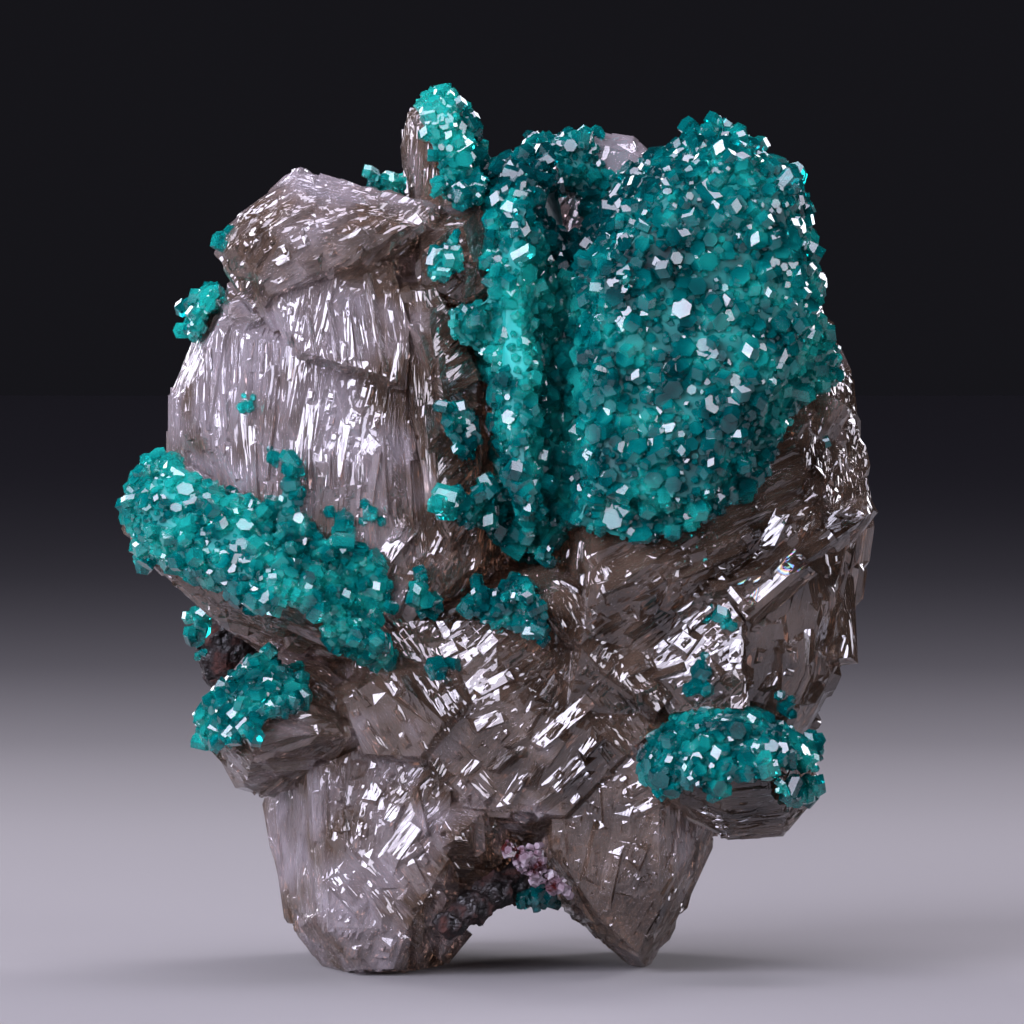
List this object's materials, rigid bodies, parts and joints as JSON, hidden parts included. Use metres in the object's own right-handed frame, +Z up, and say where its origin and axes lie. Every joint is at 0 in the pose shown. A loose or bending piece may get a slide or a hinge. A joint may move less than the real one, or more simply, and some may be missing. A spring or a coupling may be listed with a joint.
{
  "type": "cerussite specimen",
  "caption": "Cluster of twinned smoky cerussite blades on two broken feet, crusted with small green dioptase crystals over rusty gossan.",
  "frame": {"origin": "middle of the specimen as seen from above, on the surface that its two feet stand on", "axes": "+Z up; the show side faces -Y; +X to the right as seen from the show side"},
  "size_m": [0.0468, 0.037, 0.0553],
  "materials": {
    "cerussite": "polished",
    "dioptase": "polished",
    "gossan": "matte",
    "calcite": "satin"
  },
  "bodies": {
    "root": {"cerussite_cluster": "cerussite", "gossan_left": "gossan", "gossan_base": "gossan", "calcite_hollow": "calcite", "dioptase_main_druse": "dioptase", "dioptase_pinnacle_crust": "dioptase", "dioptase_back_crust": "dioptase", "dioptase_left_band": "dioptase", "dioptase_lower_left_crust": "dioptase", "dioptase_centre_crust": "dioptase", "dioptase_ledge_crust": "dioptase", "dioptase_ledge_pair": "dioptase", "dioptase_shoulder_crust": "dioptase", "dioptase_saddle_crust": "dioptase", "dioptase_upper_fringe": "dioptase", "dioptase_middle_fringe": "dioptase", "dioptase_small_knot": "dioptase", "dioptase_rear_crust": "dioptase", "dioptase_rear_patch": "dioptase", "dioptase_crystal_1": "dioptase", "dioptase_crystal_2": "dioptase", "dioptase_crystal_3": "dioptase", "dioptase_crystal_4": "dioptase", "dioptase_crystal_5": "dioptase", "dioptase_crystal_6": "dioptase", "dioptase_crystal_7": "dioptase", "dioptase_crystal_8": "dioptase", "dioptase_crystal_9": "dioptase", "dioptase_crystal_10": "dioptase", "dioptase_crystal_11": "dioptase", "dioptase_on_gossan": "dioptase", "dioptase_in_hollow": "dioptase"}
  },
  "joints": []
}
